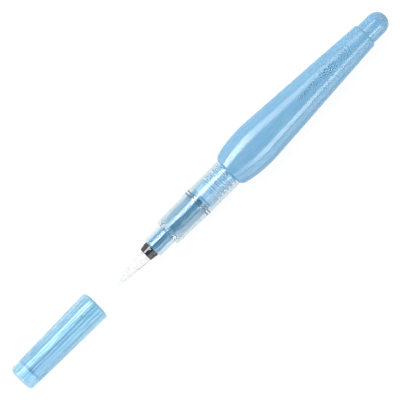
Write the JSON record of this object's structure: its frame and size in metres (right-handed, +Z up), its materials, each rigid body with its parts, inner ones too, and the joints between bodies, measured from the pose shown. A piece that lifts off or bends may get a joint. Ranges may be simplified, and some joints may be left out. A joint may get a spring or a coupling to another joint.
{
  "type": "water brush pen",
  "caption": "Refillable water brush pen with a pointed nylon tuft, a finned feed in a clear screw-off head, a flattened squeeze bottle and a ribbed cap laid off in front.",
  "frame": {"origin": "middle of the layout's box, on the surface that it lies on", "axes": "+X along the pen from the cap and the tuft's tip towards the bottle's tail, +Z up, the bottle's flat sides facing up and down"},
  "size_m": [0.2028, 0.0186, 0.0129],
  "materials": {
    "bottle_plastic": "translucent blow-moulded polyethylene, light blue, softly glossy",
    "cap_plastic": "translucent moulded plastic, light blue, lengthwise ribs",
    "liner_plastic": "translucent moulded plastic, light blue, smooth",
    "clear_plastic": "clear moulded plastic, glossy",
    "core_plastic": "dark blue moulded plastic",
    "plug_plastic": "mid-blue moulded plastic",
    "black_plastic": "black moulded plastic, glossy",
    "nylon_filament": "white nylon filaments, satin",
    "wick_fibre": "porous bonded fibre, pale grey"
  },
  "bodies": {
    "reservoir": {"reservoir_bottle": "bottle_plastic", "neck_plug": "plug_plastic"},
    "head_carrier": {"spacer_ring": "clear_plastic"},
    "brush_head": {"nose_sleeve": "clear_plastic", "thread_collar": "clear_plastic", "feed_core": "core_plastic", "feed_wick": "wick_fibre", "brush_ferrule": "black_plastic", "tuft_root": "nylon_filament"},
    "tuft": {"tuft_tip": "nylon_filament"},
    "cap": {"cap_shell": "cap_plastic", "cap_liner": "liner_plastic"}
  },
  "joints": [
    {"name": "head_travel", "type": "slide", "parent": "reservoir", "child": "head_carrier", "axis": [-1, 0, 0], "range_m": [0, 0.0101]},
    {"name": "head_spin", "type": "hinge", "parent": "head_carrier", "child": "brush_head", "pos_m": [-0.00275, 0, 0.00645], "axis": [-1, 0, 0], "range_deg": [0, 1800]},
    {"name": "tuft_flex", "type": "hinge", "parent": "brush_head", "child": "tuft", "pos_m": [-0.03175, 0, 0.00645], "axis": [0, 0, 1], "range_deg": [-12, 12], "stiffness_Nm_per_rad": 0.001},
    {"name": "cap_slide", "type": "slide", "parent": "head_carrier", "child": "cap", "axis": [1, 0, 0], "range_m": [0, 0.03915]}
  ],
  "couplings": [
    {"joint": "head_travel", "follows": "head_spin", "m_per_rad": 0.00031831}
  ]
}
